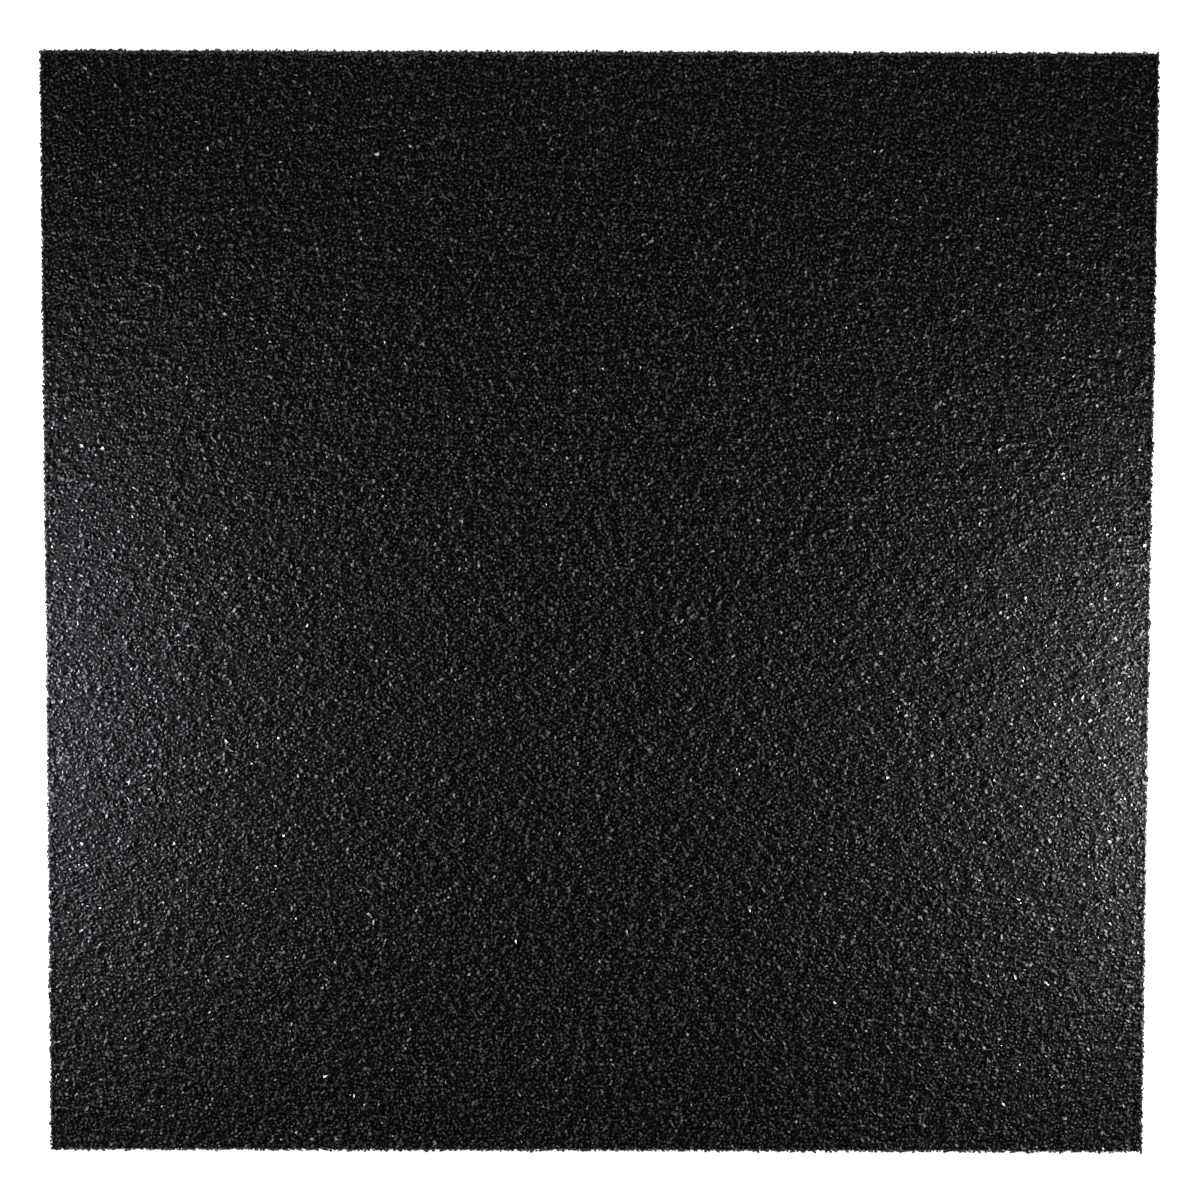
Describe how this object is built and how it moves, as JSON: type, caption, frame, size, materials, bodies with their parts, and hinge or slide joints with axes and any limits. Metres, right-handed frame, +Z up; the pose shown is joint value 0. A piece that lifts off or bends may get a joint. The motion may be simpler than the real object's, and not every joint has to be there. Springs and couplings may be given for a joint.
{
  "type": "rubber playground mat",
  "caption": "Square flat slab of bonded black rubber crumb, laid loose or butted edge to edge as safety flooring.",
  "frame": {"origin": "middle of the underside, on the floor that the mat lies on", "axes": "+Z up out of the walked-on face; +X and +Y along the two sides, with +Y towards the top of the picture"},
  "size_m": [0.5, 0.5, 0.025],
  "materials": {
    "rubber_crumb": "matt black bonded crumb of 1 to 4 mm granules, with small glossy facets"
  },
  "bodies": {
    "root": {"rubber_mat": "rubber_crumb"}
  },
  "joints": []
}
